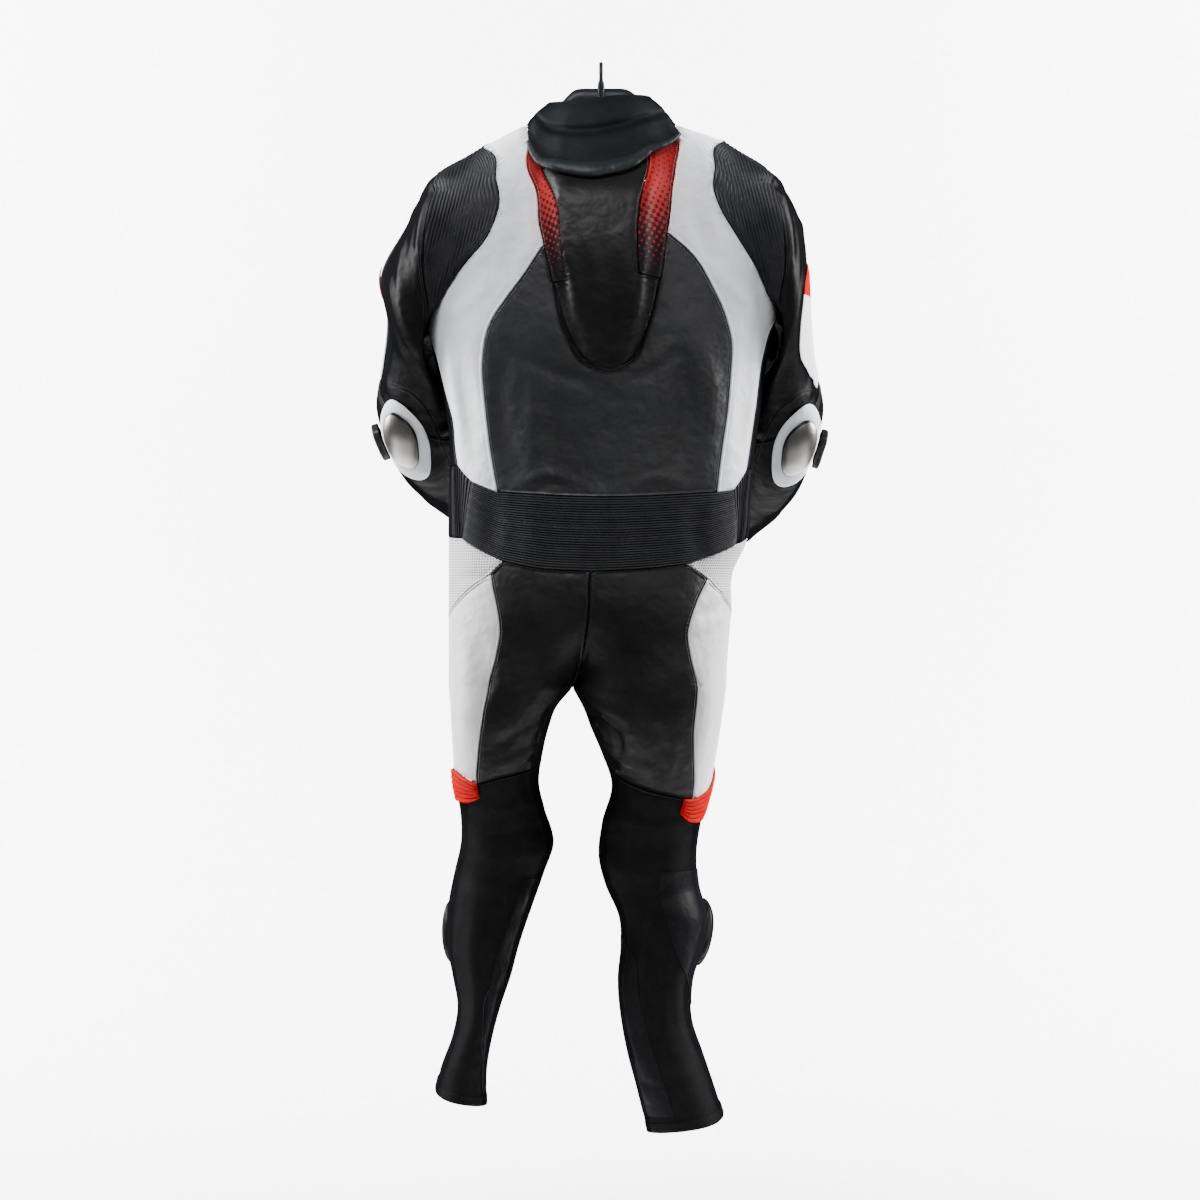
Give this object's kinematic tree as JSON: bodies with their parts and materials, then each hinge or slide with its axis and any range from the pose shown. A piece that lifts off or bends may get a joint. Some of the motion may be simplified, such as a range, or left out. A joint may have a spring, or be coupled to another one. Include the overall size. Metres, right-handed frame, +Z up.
{
  "type": "motorcycle race suit on a hanger",
  "caption": "One-piece leather motorcycle race suit with an aero hump, ribbed stretch panels and armoured elbows and knees, hanging empty on a broad shoulder hanger.",
  "frame": {"origin": "bearing point at the top of the hanger hook's inner bend, where a rail holds it", "axes": "+X towards the wearer's right, +Y towards the wearer's front, +Z up; the back faces -Y"},
  "size_m": [0.6363, 0.4368, 1.4714],
  "materials": {
    "leather_black": "smooth semi-gloss",
    "leather_white": "smooth semi-gloss",
    "stretch_black": "ribbed stretch",
    "stretch_red": "ribbed or printed stretch",
    "fabric_black": "matte stretch",
    "plastic_black": "gloss",
    "metal_silver": "satin"
  },
  "bodies": {
    "suit": {"hump": "leather_black", "back_panel": "leather_black", "front_panel_L": "leather_black", "front_panel_R": "leather_black", "nape_roll": "leather_black", "sleeve_back_L": "leather_black", "sleeve_back_R": "leather_black", "sleeve_front_L": "leather_black", "sleeve_front_R": "leather_black", "forearm_back_L": "leather_black", "forearm_back_R": "leather_black", "forearm_front_L": "leather_black", "forearm_front_R": "leather_black", "seat_L": "leather_black", "seat_R": "leather_black", "front_thigh_L": "leather_black", "front_thigh_R": "leather_black", "shin_L": "leather_black", "shin_R": "leather_black", "shoulder_panel_L": "leather_white", "shoulder_panel_R": "leather_white", "sleeve_stripe_L": "leather_white", "sleeve_stripe_R": "leather_white", "elbow_panel_L": "leather_white", "elbow_panel_R": "leather_white", "hip_mesh_L": "leather_white", "hip_mesh_R": "leather_white", "thigh_side_L": "leather_white", "thigh_side_R": "leather_white", "lumbar_stretch": "stretch_black", "side_stretch_L": "stretch_black", "side_stretch_R": "stretch_black", "shoulder_stretch_L": "stretch_black", "shoulder_stretch_R": "stretch_black", "hump_side_L": "stretch_red", "hump_side_R": "stretch_red", "thigh_flash_L": "stretch_red", "thigh_flash_R": "stretch_red", "collar": "fabric_black", "calf_L": "fabric_black", "calf_R": "fabric_black", "inner_leg_L": "fabric_black", "inner_leg_R": "fabric_black", "zip_tape": "fabric_black", "hanger_body": "plastic_black", "hanger_hook": "plastic_black", "elbow_slider_L": "plastic_black", "elbow_slider_R": "plastic_black", "knee_slider_L": "plastic_black", "knee_slider_R": "plastic_black", "zip_slider": "metal_silver", "elbow_plate_L": "metal_silver", "elbow_plate_R": "metal_silver"},
    "pull": {"zip_pull": "metal_silver"}
  },
  "joints": [
    {"name": "zip_pull_hinge", "type": "hinge", "parent": "suit", "child": "pull", "pos_m": [0.00342, 0.1092, -0.179], "axis": [1, 0, 0], "range_deg": [0, 150]}
  ]
}
